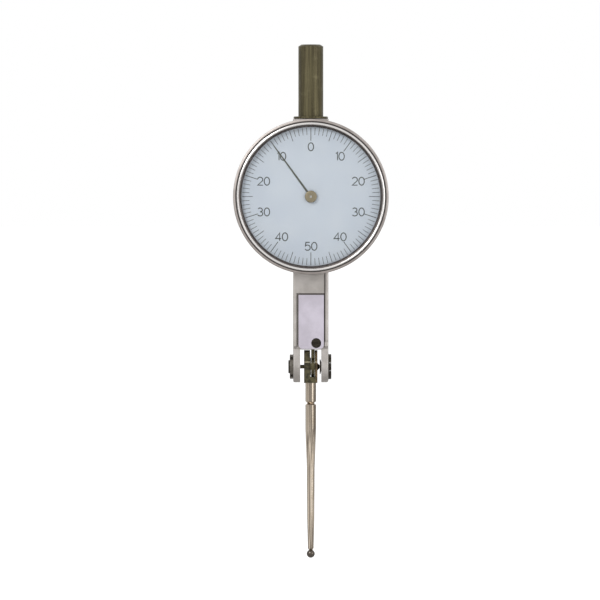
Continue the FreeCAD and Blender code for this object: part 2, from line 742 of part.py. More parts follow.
# ---- frame: bridge and bearings ------------------------------------------------------------------
def movement_bridge():
    """The yoke in the cup that holds both ends of the needle's shaft, on one side of the crown wheel."""
    front = face_plate(stadium(bridge_reach, bridge_width / 2, True), (bridge_front, bridge_back))
    boss = rod(bridge_boss_radius, (bridge_front, bridge_back), Y, DIAL)
    z = (dial_z - bridge_half_height, dial_z + bridge_half_height)
    side_x = (window_half_width - bridge_gap - bridge_side, window_half_width - bridge_gap)
    side = block(side_x, (bridge_back - cut_over, arm_back), z)
    arm = block((-bridge_arm_overhang, side_x[1]), (arm_front, arm_back), z)
    cuts = [rod(pointer_front_bearing + press_gap, (bridge_front, bridge_back), Y, DIAL),
            rod(pointer_rear_bearing + press_gap, (arm_front, arm_back), Y, DIAL)]
    cuts += [rod(bridge_screw_shank + press_gap, (bridge_front, bridge_back), Y,
                 DIAL + Z * (end * bridge_screw_offset)) for end in (-1, 1)]
    return joined([front, boss, side, arm]).cut(Part.makeCompound(cuts))


def bridge_screws():
    return Part.makeCompound([slotted_screw(bridge_screw_head, bridge_screw_shank,
                                            bridge_front - bridge_screw_head_height, bridge_front,
                                            bridge_front + bridge_screw_length, Y,
                                            DIAL + Z * (side * bridge_screw_offset)) for side in (-1, 1)])


def bearing(radius, shaft_radius, span, axis, at):
    """A plain bush."""
    return rod(radius, span, axis, at).cut(rod(shaft_radius + running_gap, span, axis, at))


def arbor_bearing_left():
    return bearing(arbor_bearing_radius, arbor_pivot_radius, (-arbor_tip, -cavity_half), X, ARBOR)


def arbor_bearing_right():
    return bearing(arbor_bearing_radius, arbor_pivot_radius, (cavity_half, arbor_tip), X, ARBOR)


def pointer_bearing_front():
    return bearing(pointer_front_bearing, pointer_shaft_radius, (bridge_front, bridge_back), Y, DIAL)


def pointer_bearing_rear():
    return bearing(pointer_rear_bearing, pointer_rear_pivot, (arm_front, arm_back), Y, DIAL)


# ---- frame: springs and pins inside the bar ------------------------------------------------------
def inner_pin(name, length):
    radius, y, z = inner_pins[name]
    return side_hole(radius, (-cavity_half - pin_seat, length - cavity_half), y, z)


def spring_stud():
    return inner_pin("spring stud", spring_stud_length)


def stop_pin():
    """What the resting lever leans on."""
    return inner_pin("stop pin", stop_pin_length)


def measuring_spring():
    """A flat spring from its stud up to the lever's front edge, curled away at its tip."""
    radius, foot_y, foot_z = inner_pins["spring stud"]
    thin = spring_thickness
    foot = foot_y + radius + press_gap
    tip_y, tip_z = lever_edge(spring_tip_rise, -1)
    tip = tip_y - stop_gap - thin
    points = [(foot, foot_z - radius), (foot + thin, foot_z - radius), (foot + thin, foot_z + radius),
              (tip + thin, tip_z), (tip + thin - spring_curl, tip_z + spring_curl),
              (tip - spring_curl, tip_z + spring_curl), (tip, tip_z), (foot, foot_z + radius)]
    middle = (lever_left + lever_right) / 2
    return side_plate(points, (middle - spring_width / 2, middle + spring_width / 2), ORIGIN)


def hairspring():
    """A flat spiral of half-circle arcs, from the collet out to its stud."""
    half = hairspring_thickness / 2
    grow = hairspring_pitch / 4
    inner, outer = [], []
    for k in range(2 * hairspring_turns + 1):
        radius = collet_radius + hairspring_start_gap + k * 2 * grow
        centre = -grow if k % 2 else grow
        way = -1 if k % 2 else 1
        for side, edge in ((-half, inner), (half, outer)):
            reach = (radius + side) * way
            middle = vector(hairspring_x[0], arbor_y + centre, dial_z)
            edge.append((middle - Y * reach, middle + Z * reach, middle + Y * reach))
    edges = [Part.Arc(*arc).toShape() for arc in inner + outer]
    edges.append(Part.makeLine(inner[0][0], outer[0][0]))
    edges.append(Part.makeLine(inner[-1][2], outer[-1][2]))
    return Part.Face(Part.Wire(Part.sortEdges(edges)[0])).extrude(X * hairspring_width)


def hairspring_stud():
    return inner_pin("hairspring stud", hairspring_x[1] + free_gap / 2 + cavity_half)


# ---- gear train ----------------------------------------------------------------------------------
def crown_arbor():
    """The shaft that carries pinion and crown wheel, turned so that it meshes with the resting sector."""
    ends = cavity_half - end_play
    pin, tips = arbor_pivot_radius, arbor_tip
    shaft = turned([(0, -tips), (pin, -tips), (pin, -ends), (arbor_radius, -ends), (arbor_radius, ends),
                    (pin, ends), (pin, tips), (0, tips)], X, ARBOR)
    towards_pivot = 270.0 + arbor_angle
    phase = (lever_range / 2) / sector_pitch_angle * 360.0 / arbor_pinion_teeth
    outline = pinion_outline(sector_module, arbor_pinion_teeth, sector_backlash,
                             towards_pivot + 180.0 / arbor_pinion_teeth + phase)
    middle = lever_right + sector_thickness / 2
    pinion = side_plate(outline, (middle - arbor_pinion_width / 2, middle + arbor_pinion_width / 2), ARBOR)
    return joined([shaft, pinion])


def crown_wheel():
    """A wheel with teeth on its right face, which turn the needle's pinion round through a right angle."""
    back = crown_back_x
    web, hub = back + crown_web, back + crown_hub_width
    bore = arbor_radius + press_gap
    wheel = turned([(bore, back), (crown_outer, back), (crown_outer, crown_tip_x),
                    (crown_inner, crown_tip_x), (crown_inner, web), (crown_hub_radius, web),
                    (crown_hub_radius, hub), (bore, hub)], X, ARBOR)
    slope = math.tan(math.radians(flank_angle))
    tooth_half = math.pi * crown_module / 4 - crown_backlash / 4
    gap_half = math.pi * crown_module / 2 - tooth_half
    at_root = gap_half - (-pointer_pinion_radius - crown_root_x) * slope
    at_tip = gap_half + (crown_tip_x + pointer_pinion_radius) * slope
    mouth = at_tip + cut_over * slope
    corners = [(crown_root_x, -at_root), (crown_tip_x + cut_over, -mouth), (crown_tip_x + cut_over, mouth),
               (crown_root_x, at_root)]
    start = crown_inner - cut_over
    face = Part.Face(wire(corners, lambda x, z: vector(x, arbor_y - start, dial_z + z)))
    gap = face.extrude(-Y * (crown_face + 2 * cut_over))
    cuts = [gap.rotated(ARBOR, X, k * 360.0 / crown_teeth) for k in range(crown_teeth)]
    hole_circle = (crown_hub_radius + crown_inner) / 2
    for k in range(crown_holes):
        y, z = polar(hole_circle, k * 360.0 / crown_holes)
        cuts.append(side_hole(crown_hole_radius, (back - 1, 0), arbor_y + y, dial_z + z))
    return wheel.cut(Part.makeCompound(cuts))


def hairspring_collet():
    middle = (hairspring_x[0] + hairspring_x[1]) / 2
    span = (middle - collet_width / 2, middle + collet_width / 2)
    return rod(collet_radius, span, X, ARBOR).cut(rod(arbor_radius + press_gap, span, X, ARBOR))


def pointer_shaft():
    """The needle's shaft with its pinion."""
    back, front = pinion_y + pointer_pinion_width / 2, pinion_y - pointer_pinion_width / 2
    root = pointer_pinion_radius - crown_module * tooth_dedendum
    shaft = turned([(0, arm_back), (pointer_rear_pivot, arm_back), (pointer_rear_pivot, arm_front - end_play),
                    (root, arm_front - end_play), (root, bridge_back + end_play),
                    (pointer_shaft_radius, bridge_back + end_play), (pointer_shaft_radius, hub_front),
                    (0, hub_front)], Y, DIAL)
    teeth = pinion_outline(crown_module, pointer_pinion_teeth, crown_backlash, 180.0)
    return joined([shaft, face_plate(teeth, (front, back))])


def pointer_hub():
    rim = hub_radius - hub_rounding
    bend = hub_rounding * (1 - math.sqrt(0.5))
    bore = pointer_shaft_radius + press_gap
    return turned([(bore, needle_front), (hub_radius, needle_front), (hub_radius, hub_front + hub_rounding),
                   (hub_radius - bend, hub_front + bend, rim, hub_front), (bore, hub_front)], Y, DIAL)


def pointer_needle():
    """A thin straight blade on a round boss under the hub."""
    root, tip = needle_root_width / 2, needle_tip_width / 2
    span = (needle_front, needle_back)
    blade = face_plate([(-root, 0), (root, 0), (tip, needle_length), (-tip, needle_length)], span)
    boss = rod(needle_boss_radius, span, Y, DIAL)
    needle = joined([blade, boss]).cut(rod(pointer_shaft_radius + press_gap, span, Y, DIAL))
    return needle.rotated(DIAL, Y, -needle_rest_angle)


# ---- lever ---------------------------------------------------------------------------------------
def measuring_lever():
    """Hub and arm in one flat piece, leaning against the stop pin."""
    root, tip = lever_root_width / 2, lever_end_width / 2
    hub_edge = math.sqrt(lever_hub_radius ** 2 - root ** 2)
    outline = [(-root, hub_edge), (0, -lever_hub_radius, root, hub_edge), (tip, lever_height - tip),
               (0, lever_height, -tip, lever_height - tip)]
    arm = side_plate(outline, (lever_left, lever_right))
    holes = [rod(spindle_radius + press_gap, (lever_left, lever_right), X, PIVOT)]
    holes += [rod(rivet_radius + press_gap, (lever_left, lever_right), X, PIVOT + Z * rise)
              for rise in rivet_rises]
    return lean(arm.cut(Part.makeCompound(holes)))


def sector_plate():
    """The toothed sector, riveted to the lever's right face."""
    teeth = tooth_outline(sector_module, sector_radius, wheel_addendum, sector_backlash, sector_pitch_angle,
                          90.0 - (sector_teeth - 1) / 2 * sector_pitch_angle, sector_teeth)
    half_span = (sector_teeth + 1) / 2 * sector_pitch_angle
    root_radius = sector_radius - sector_module * tooth_dedendum
    right, left = polar(root_radius, 90.0 - half_span), polar(root_radius, 90.0 + half_span)
    tail = sector_tail_width / 2
    neck = sector_radius - sector_neck_drop
    foot = sector_radius - sector_tail
    outline = [right] + teeth + [left, (left[0], left[1] - sector_rim), (-tail, neck),
                                 (-tail, foot + tail), (0, foot, tail, foot + tail), (tail, neck),
                                 (right[0], right[1] - sector_rim)]
    plate = side_plate(outline, (lever_right, lever_right + sector_thickness))
    holes = [rod(rivet_radius + press_gap, (lever_right, lever_right + sector_thickness), X, PIVOT + Z * rise)
             for rise in rivet_rises]
    return lean(plate.cut(Part.makeCompound(holes)))


def sector_rivets():
    left, right = lever_left, lever_right + sector_thickness
    return lean(Part.makeCompound([
        turned([(0, left - rivet_head_height), (rivet_head_radius, left - rivet_head_height),
                (rivet_head_radius, left), (rivet_radius, left), (rivet_radius, right),
                (rivet_head_radius, right), (rivet_head_radius, right + rivet_head_height),
                (0, right + rivet_head_height)], X, PIVOT + Z * rise) for rise in rivet_rises]))


def pivot_spindle():
    """The lever's spindle: pointed at both ends, with a coned collar on the right."""
    holder_half = holder_width / 2
    tip = fork_half + journal_cone_length
    collar = holder_half + end_play
    return turned([(0, -tip), (journal_radius, -fork_half), (journal_radius, -holder_half),
                   (spindle_radius, -holder_half), (spindle_radius, collar), (spindle_collar_radius, collar),
                   (journal_radius, collar + collar_cone_length), (journal_radius, fork_half), (0, tip)],
                  X, PIVOT)


# ---- stylus --------------------------------------------------------------------------------------
def stylus_holder():
    """A clevis over the lever's hub, rounded about the pivot at its top, with a thinner upper part."""
    half, deep = holder_width / 2, holder_depth / 2
    crown = math.sqrt(holder_top_radius ** 2 - deep ** 2)
    outline = [(-deep, -holder_drop), (deep, -holder_drop), (deep, crown),
               (0, holder_top_radius, -deep, crown)]
    body = side_plate(outline, (-half, half))
    step_z = pivot_z + holder_step_rise
    line = (step_z, step_z + holder_step)
    core = block((-half + holder_step, half - holder_step), (-deep + holder_step, deep - holder_step), line)
    ring = block((-bar_width, bar_width), (-bar_width, bar_width), line).cut(core)
    slot = block((leaf_left, lever_right + end_play), (-holder_depth, holder_depth),
                 (pivot_z - lever_hub_radius - free_gap, pivot_z + holder_depth * 2))
    cuts = [ring, slot, rod(spindle_radius + running_gap, (-half, half), X, PIVOT),
            rod(shank_spigot_radius + press_gap, (shank_top, shank_socket), Z, PIVOT)]
    return body.cut(Part.makeCompound(cuts))


def friction_leaf():
    """The flat spring between holder and lever that keeps the stylus where it is swung to."""
    span = (leaf_left, leaf_left + leaf_thickness)
    return rod(leaf_radius, span, X, PIVOT).cut(rod(spindle_radius + running_gap, span, X, PIVOT))


def stylus_shank():
    """The long tapered shank with a groove near its top and a pin below for the ball."""
    top = shank_top
    groove = top - groove_drop
    profile = [(0, top + shank_spigot_length), (shank_spigot_radius, top + shank_spigot_length),
               (shank_spigot_radius, top), (shank_radius, top), (shank_radius, groove + groove_half_width),
               (groove_radius, groove), (shank_radius, groove - groove_half_width),
               (shank_radius, top - shank_straight)]
    profile += [(radius, top - drop) for drop, radius in taper_stations]
    profile += [(ball_pin_radius, ball_top), (ball_pin_radius, ball_top - ball_pin_depth),
                (0, ball_top - ball_pin_depth)]
    return turned(profile, Z, ORIGIN)


def contact_ball():
    ball = Part.makeSphere(ball_radius, vector(0, 0, ball_z))
    socket = rod(ball_pin_radius + press_gap, (ball_top - ball_pin_depth, ball_z + ball_radius), Z, ORIGIN)
    return ball.cut(socket)


# ---- build ---------------------------------------------------------------------------------------
makers = [body_casting, front_plate, front_plate_screw, side_cover, side_cover_screws, stem,
          pivot_screw_left, lock_nut, pivot_screw_right, dished_washer,
          bezel, dial_face, spacer_ring, crystal, bezel_spring_ring,
          movement_bridge, bridge_screws, arbor_bearing_left, arbor_bearing_right,
          pointer_bearing_front, pointer_bearing_rear,
          spring_stud, stop_pin, measuring_spring, hairspring, hairspring_stud,
          crown_arbor, crown_wheel, hairspring_collet, pointer_shaft, pointer_hub, pointer_needle,
          measuring_lever, sector_plate, sector_rivets, pivot_spindle,
          stylus_holder, friction_leaf, stylus_shank, contact_ball]

os.makedirs("parts", exist_ok=True)
for maker in makers:
    maker().exportStep("parts/" + maker.__name__ + ".step")
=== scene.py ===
# %% [markdown]
# # A dial test indicator, piece by piece
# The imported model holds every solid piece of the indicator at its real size. This lesson keeps
# those solids and gives each one its finish. Then it prints the scale and the numbers, which are
# too thin to be solids, and makes five pieces again with finer edges. Lengths are in metres, and
# a length worked out in millimetres is multiplied by mm.

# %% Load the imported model
import json
import math

import bmesh
import bpy
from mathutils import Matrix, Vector


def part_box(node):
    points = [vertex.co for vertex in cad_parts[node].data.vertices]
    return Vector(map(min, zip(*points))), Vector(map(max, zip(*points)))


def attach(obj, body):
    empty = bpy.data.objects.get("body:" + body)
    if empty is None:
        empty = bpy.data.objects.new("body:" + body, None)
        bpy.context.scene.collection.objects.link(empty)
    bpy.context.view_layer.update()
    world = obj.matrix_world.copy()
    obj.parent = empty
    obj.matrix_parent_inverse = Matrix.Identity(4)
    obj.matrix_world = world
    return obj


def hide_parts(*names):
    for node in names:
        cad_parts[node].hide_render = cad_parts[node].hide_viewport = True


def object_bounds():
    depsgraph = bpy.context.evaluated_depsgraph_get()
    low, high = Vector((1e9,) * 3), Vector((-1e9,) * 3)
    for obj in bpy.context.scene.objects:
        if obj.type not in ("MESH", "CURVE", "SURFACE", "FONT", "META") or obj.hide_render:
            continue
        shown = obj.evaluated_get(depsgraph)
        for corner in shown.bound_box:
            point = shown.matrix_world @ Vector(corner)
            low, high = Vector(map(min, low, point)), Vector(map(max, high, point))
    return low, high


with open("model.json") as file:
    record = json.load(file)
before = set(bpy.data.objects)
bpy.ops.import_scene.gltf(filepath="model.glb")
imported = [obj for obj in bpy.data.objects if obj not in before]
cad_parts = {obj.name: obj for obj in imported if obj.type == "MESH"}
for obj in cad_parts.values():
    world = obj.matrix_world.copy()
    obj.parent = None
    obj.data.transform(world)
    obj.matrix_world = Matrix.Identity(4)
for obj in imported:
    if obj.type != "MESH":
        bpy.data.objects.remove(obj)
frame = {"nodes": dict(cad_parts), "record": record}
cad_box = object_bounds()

mm = 0.001
nodes = frame["nodes"]
print("pieces:", len(nodes), "  size in mm:", [round(s / mm, 2) for s in cad_box[1] - cad_box[0]])

# %% [markdown]
# ## The camera
# A dial looks round only from straight ahead, and a long lens shows the long body without
# bending it. So the camera stands a metre away and a little above. Its view is a little wider
# than the part is tall, and its aim lies a little left of the part's middle.

# %% Camera
centre = (cad_box[0] + cad_box[1]) / 2
distance = 1.0
view_width = 144.6 * mm
rise = math.radians(2.0)
aim_left, aim_up = 2.6 * mm, 0.5 * mm

camera_data = bpy.data.cameras.new("camera")
camera_data.sensor_width = 36.0
camera_data.lens = camera_data.sensor_width * distance / view_width
camera_data.clip_start, camera_data.clip_end = 0.01, 20.0
camera = bpy.data.objects.new("camera", camera_data)
bpy.context.scene.collection.objects.link(camera)
aim = centre + Vector((-aim_left, 0, aim_up))
camera.location = aim + Vector((0, -math.cos(rise), math.sin(rise))) * distance
camera.rotation_euler = (math.radians(90) - rise, 0, 0)
bpy.context.scene.camera = camera
print("lens:", round(camera_data.lens, 1), "mm")

# %% [markdown]
# ## Writing shaders as sums
# A shader is a chain of small nodes. Clicking them together in code takes many lines, so one
# small class wraps a socket and lets Python's own signs add the Math nodes: `1 - mask` and
# `grain * 0.2 + 0.4` read as they would on paper. A place on the surface has three parts, so it
# goes through Vector Math instead.

# %% A socket that can be added and multiplied
class Signal:
    """One output of a shader node, which Python's operators can work with."""

    def __init__(self, tree, socket):
        self.tree, self.socket = tree, socket

    def combine(self, operation, first, second):
        kinds = {value.socket.type for value in (first, second) if isinstance(value, Signal)}
        if "VECTOR" not in kinds:
            return self.tree.node("ShaderNodeMath", {"operation": operation}, [first, second])
        pair = [(v, v, v) if isinstance(v, (int, float)) else v for v in (first, second)]
        return self.tree.node("ShaderNodeVectorMath", {"operation": operation}, pair)

    def __add__(self, other): return self.combine("ADD", self, other)
    def __radd__(self, other): return self.combine("ADD", other, self)
    def __sub__(self, other): return self.combine("SUBTRACT", self, other)
    def __rsub__(self, other): return self.combine("SUBTRACT", other, self)
    def __mul__(self, other): return self.combine("MULTIPLY", self, other)
    def __pow__(self, other): return self.combine("POWER", self, other)
    def larger(self, other): return self.combine("MAXIMUM", self, other)
    def absolute(self): return self.combine("ABSOLUTE", self, 0.0)


# %% [markdown]
# ## One way to add a node
# Every other node comes from one method: the node's type, then its settings, then what goes
# into its sockets. Settings come first because some of them, such as an operation or a data
# type, change which sockets a node has. The same class serves the room as well as the finishes.

# %% A node tree and a finish
class Tree:
    """A node tree under construction."""

    def __init__(self, nodes_and_links):
        self.tree = nodes_and_links

    def node(self, kind, settings=None, sockets=None, out=0):
        made = self.tree.nodes.new(kind)
        for name, value in (settings or {}).items():
            setattr(made, name, value)
        pairs = enumerate(sockets) if isinstance(sockets, (list, tuple)) else (sockets or {}).items()
        for key, value in pairs:
            self.feed(made.inputs[key], value)
        return Signal(self, made.outputs[out])

    def feed(self, socket, value):
        if isinstance(value, Signal):
            self.tree.links.new(value.socket, socket)
        else:
            socket.default_value = value

    def mix(self, factor, first, second):
        """The first colour where factor is 0, and the second where it is 1."""
        return self.node("ShaderNodeMix", {"data_type": "RGBA"}, {0: factor, 6: first, 7: second}, out=2)

    def ramp(self, value, low, high):
        """0 below low, 1 above high, and smooth between."""
        return self.node("ShaderNodeMapRange", {"interpolation_type": "SMOOTHSTEP"},
                         {"Value": value, "From Min": low, "From Max": high})

    def near(self, value, middle, full, none):
        """1 within full of the middle, falling smoothly to 0 at none from it."""
        return 1 - self.ramp((value - middle).absolute(), full, none)


class Finish(Tree):
    """A material under construction, with millimetre coordinates of the surface."""

    def __init__(self, name, **constants):
        self.material = bpy.data.materials.new(name)
        self.material.use_nodes = True
        super().__init__(self.material.node_tree)
        self.shader = next(n for n in self.tree.nodes if n.type == "BSDF_PRINCIPLED")
        self.output = next(n for n in self.tree.nodes if n.type == "OUTPUT_MATERIAL")
        self.paint(**constants)
        self.place = self.node("ShaderNodeTexCoord", out="Object") * (1 / mm)
        self.x, self.y, self.z = [self.node("ShaderNodeSeparateXYZ", {}, [self.place], out=k)
                                  for k in range(3)]

    def noise(self, place, scale, detail=2.0, roughness=0.5):
        return self.node("ShaderNodeTexNoise", {},
                         {"Vector": place, "Scale": scale, "Detail": detail, "Roughness": roughness})

    def stretched(self, x, y, z):
        """The place with each axis squeezed by its own factor, for noise drawn out along one."""
        return self.place * (x, y, z)

    def grime(self, reach):
        """Painted shade: 1 deep in a seam or corner narrower than reach in millimetres, 0 out in the open."""
        open_sky = self.node("ShaderNodeAmbientOcclusion", {"samples": 8}, {"Distance": reach * mm}, out=1)
        return 1 - self.ramp(open_sky, 0.15, 0.8)

    def paint(self, **channels):
        """Feeds the shader's own sockets, such as Base_Color, with signals or constants."""
        for socket, value in channels.items():
            self.feed(self.shader.inputs[socket.replace("_", " ")], value)

    def bump(self, height, depth):
        """Height from 0 to 1 over a depth in millimetres."""
        relief = self.node("ShaderNodeBump", {}, {"Strength": 1.0, "Distance": depth * mm, "Height": height})
        self.feed(self.shader.inputs["Normal"], relief)


def tint(red, green, blue):
    """A colour as a screen shows it, 0 to 255, as the linear numbers that a shader takes."""
    return tuple(((v / 255 + 0.055) / 1.055) ** 2.4 for v in (red, green, blue)) + (1.0,)


print("a grey of 128 is", round(tint(128, 128, 128)[0], 3), "in a shader")

# %% [markdown]
# ## Satin plating on the casting
# The body is a small casting, blasted with fine grit and then plated, so light spreads over it
# and its tone wanders a little from place to place. A fine noise makes the grit and a broad one
# the wandering tone. Both stay small, because at arm's length the body looks one even grey.
# Painted shade darkens the corners, and the seam of the side cover below the dial.

# %% Satin plating
cover_low, cover_high = [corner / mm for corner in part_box("side_cover")]
seam_foot, seam_head = (-54.6, -53.8), (-38.2, -37.0)     # heights over which the painted seam shade fades in and out


def satin_plating(name, darker, lighter, grit, grit_depth):
    finish = Finish(name, Metallic=1.0)
    cloud = finish.noise(finish.place, 0.22, 3.0, 0.55)
    grain = finish.noise(finish.place, grit, 3.0, 0.7)
    handled = finish.ramp(finish.noise(finish.place, 0.9, 4.0, 0.6), 0.52, 0.7)
    seam_shade = finish.near(finish.x, cover_low.x, 0.1, 0.26)
    open_stretch = finish.ramp(finish.z, *seam_foot) * (1 - finish.ramp(finish.z, *seam_head))
    colour = finish.mix(finish.ramp(cloud, 0.3, 0.7), darker, lighter)
    colour = finish.mix(grain * 0.25, colour, tint(120, 114, 108))
    # painted shade: darker deep in corners and seams
    colour = finish.mix(finish.grime(0.9) * 0.9, colour, tint(56, 51, 46))
    # painted shade along the side cover's seam, between the two heights
    colour = finish.mix(seam_shade * open_stretch * 0.75, colour, tint(64, 58, 56))
    finish.paint(Base_Color=colour, Roughness=0.4 + grain * 0.14 - handled * 0.07)
    finish.bump(grain, grit_depth)
    return finish.material


satin_body = satin_plating("satin_body", tint(166, 161, 156), tint(190, 185, 181), grit=7.0, grit_depth=0.008)
front_plate = satin_plating("front_plate", tint(190, 184, 195), tint(206, 200, 212), grit=12.0,
                            grit_depth=0.003)
print("plated finishes:", satin_body.name, front_plate.name)

# %% [markdown]
# ## Blackened steel
# The stem and the stylus holder are steel blackened in hot salts, which leaves a thin dark skin
# with an olive cast. Grinding marks run along the bar under the skin, and the skin wears thin
# first where fingers and clamps rub. The marks are a noise squeezed round the bar and drawn out
# along it.

# %% Blackened steel
def blackened(name, dark, light, metallic, roughness, across, along):
    finish = Finish(name, Metallic=metallic)
    marks = finish.noise(finish.stretched(across, across, along), 1.0, 3.0, 0.6)
    grain = finish.noise(finish.place, 14.0, 2.0, 0.6)
    rubbed = finish.ramp(finish.noise(finish.place, 0.35, 4.0, 0.65), 0.5, 0.75)
    colour = finish.mix(finish.ramp(marks, 0.3, 0.72), dark, light)
    colour = finish.mix(rubbed * 0.18, colour, tint(132, 126, 98))
    # painted shade in corners and seams
    colour = finish.mix(finish.grime(0.5) * 0.6, colour, tint(26, 23, 18))
    finish.paint(Base_Color=colour, Roughness=roughness + grain * 0.12 - rubbed * 0.08)
    finish.bump(marks * 0.6 + grain * 0.4, 0.004)
    return finish.material


olive_black = blackened("olive_black", tint(66, 60, 43), tint(92, 86, 62), 0.8, 0.4, across=2.2, along=0.08)
black_steel = blackened("black_steel", tint(38, 34, 29), tint(58, 53, 46), 0.8, 0.34, across=3.0, along=3.0)
grey_steel = blackened("grey_steel", tint(82, 78, 72), tint(112, 107, 100), 0.9, 0.36, across=3.0, along=3.0)
print("blackened finishes:", olive_black.name, black_steel.name, grey_steel.name)

# %% [markdown]
# ## Turned steel, brass and bronze
# Small turned parts carry fine rings left by the tool. The rings are a noise squeezed along the
# part's own axis, and each metal differs only in its colour, its gloss and that axis.

# %% Turned metals
ring_squeeze = {"x": (9.0, 0.4, 0.4), "y": (0.4, 9.0, 0.4), "z": (0.4, 0.4, 9.0)}


def turned_metal(name, base, roughness, axis="x", contrast=0.25):
    finish = Finish(name, Metallic=1.0)
    rings = finish.noise(finish.stretched(*ring_squeeze[axis]), 1.0, 2.0, 0.5)
    stain = finish.ramp(finish.noise(finish.place, 0.8, 3.0, 0.6), 0.45, 0.75)
    shade = tuple(v * (1 - contrast) for v in base[:3]) + (1.0,)
    colour = finish.mix(finish.ramp(rings, 0.35, 0.65), shade, base)
    colour = finish.mix(stain * 0.15, colour, tint(110, 98, 78))
    finish.paint(Base_Color=colour, Roughness=roughness + rings * 0.1)
    finish.bump(rings, 0.004)
    return finish.material


turned = dict(
    bright_steel=turned_metal("bright_steel", tint(188, 186, 182), 0.22),
    brass=turned_metal("brass", tint(196, 168, 104), 0.28),
    bronze=turned_metal("bronze", tint(150, 138, 112), 0.34, axis="y", contrast=0.12),
    spring_steel=turned_metal("spring_steel", tint(120, 128, 150), 0.25, axis="z"),
    spring_bronze=turned_metal("spring_bronze", tint(184, 142, 96), 0.28, axis="z"),
    spacer=turned_metal("spacer", tint(96, 92, 92), 0.45, axis="y"),
    ball_steel=turned_metal("ball_steel", tint(92, 86, 80), 0.12, axis="z", contrast=0.1))
print("turned finishes:", ", ".join(turned))

# %% [markdown]
# ## The bezel, told apart by radius
# One ring carries a satin band outside and a polished crest that faces the reader. Two dark rings
# of painted shade lie in the groove round the crest and on the inner lip. They follow the distance
# from the dial's middle, so the finish measures that distance and switches between them.

# %% Bezel plating
bezel_low, bezel_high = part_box("bezel")
dial_low, dial_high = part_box("dial_face")
dial_middle = (dial_low + dial_high) / 2
bezel_radius = (bezel_high.x - bezel_low.x) / 2 / mm
groove_radii = (bezel_radius - 0.82, bezel_radius - 0.56)
groove_middle = sum(groove_radii) / 2
lip_middle = bezel_radius - 1.52
print("bezel radius:", round(bezel_radius, 2), "mm, dial middle at z", round(dial_middle.z / mm, 2))


def radius_from_dial(finish):
    across = finish.x - dial_middle.x / mm
    up = finish.z - dial_middle.z / mm
    return (across * across + up * up) ** 0.5


def bezel_finish():
    finish = Finish("bezel_plate", Metallic=1.0)
    radius = radius_from_dial(finish)
    band = finish.ramp(radius, bezel_radius - 0.72, bezel_radius - 0.62)
    polished = finish.ramp(radius, bezel_radius - 1.42, bezel_radius - 1.36) * (1 - band)
    # two dark rings of painted shade, in the groove and at the inner lip
    painted_ring_shade = finish.near(radius, groove_middle, 0.08, 0.2) + finish.near(radius, lip_middle, 0.08, 0.2)
    grain = finish.noise(finish.place, 8.0, 3.0, 0.7)
    cloud = finish.noise(finish.place, 0.3, 3.0, 0.5)
    colour = finish.mix(finish.ramp(cloud, 0.3, 0.7), tint(146, 139, 135), tint(168, 161, 157))
    colour = finish.mix(polished, colour, tint(222, 219, 217))
    colour = finish.mix(grain * 0.2, colour, tint(120, 112, 106))
    # painted shade in corners and seams
    colour = finish.mix(finish.grime(0.5) * 0.85, colour, tint(58, 53, 50))
    colour = finish.mix(painted_ring_shade * 0.8, colour, tint(66, 60, 58))
    finish.paint(Base_Color=colour, Roughness=0.36 + grain * 0.12 - polished * 0.2)
    finish.bump(grain * (1 - polished), 0.005)
    return finish.material


bezel_plate = bezel_finish()

# %% [markdown]
# ## Dial enamel
# The dial is a thin plate sprayed a pale bluish white. It is nearly matt, and its paint has a
# very fine orange peel that only shows where a lamp glances off it.

# %% Dial enamel
def enamel():
    finish = Finish("dial_paint", Metallic=0.0, Specular_IOR_Level=0.4)
    cloud = finish.noise(finish.place, 0.12, 3.0, 0.5)
    speck = finish.noise(finish.place, 9.0, 3.0, 0.75)
    colour = finish.mix(finish.ramp(cloud, 0.3, 0.7), tint(199, 206, 216), tint(205, 211, 219))
    colour = finish.mix(finish.ramp(speck, 0.62, 0.85) * 0.12, colour, tint(176, 186, 202))
    finish.paint(Base_Color=colour, Roughness=0.5 + speck * 0.1)
    finish.bump(speck, 0.002)
    return finish.material


dial_paint = enamel()
print("dial finish:", dial_paint.name)

# %% [markdown]
# ## Printing ink and the needle's lacquer
# Ink and lacquer are thin films of dark pigment, and lie a little thinner in places. Ink is dull,
# and the lacquer is glossier.

# %% Ink and lacquer
def pigment(name, colour, thin, roughness):
    finish = Finish(name, Metallic=0.0)
    film = finish.noise(finish.place, 6.0, 3.0, 0.6)
    finish.paint(Base_Color=finish.mix(finish.ramp(film, 0.35, 0.75) * 0.5, colour, thin),
                 Roughness=roughness + film * 0.1)
    finish.bump(film, 0.001)
    return finish.material


ink = pigment("ink", tint(64, 68, 66), tint(88, 94, 92), roughness=0.5)
needle_paint = pigment("needle_paint", tint(74, 76, 66), tint(92, 94, 82), roughness=0.3)
print("films:", ink.name, needle_paint.name)

# %% [markdown]
# ## The crystal
# A watch crystal is clear from the front and mirrors the room at a slant. Rather than bend every
# ray through glass, which would dim the dial, the finish lets light straight through and adds a
# reflection whose strength follows Fresnel's law. A faint smear makes it uneven.

# %% Crystal
def clear_crystal():
    finish = Finish("crystal")
    clear = finish.node("ShaderNodeBsdfTransparent", {}, {"Color": (0.985, 0.99, 0.99, 1)})
    smear = finish.noise(finish.place, 0.25, 4.0, 0.6)
    mirror = finish.node("ShaderNodeBsdfGlossy", {}, {"Color": (1, 1, 1, 1), "Roughness": 0.04})
    slant = finish.node("ShaderNodeFresnel", {}, {"IOR": 1.45})
    both = finish.node("ShaderNodeMixShader", {}, [slant * (0.45 + smear * 0.1), clear, mirror])
    finish.feed(finish.output.inputs["Surface"], both)
    finish.tree.nodes.remove(finish.shader)
    return finish.material


crystal = clear_crystal()
print("clear finish:", crystal.name)
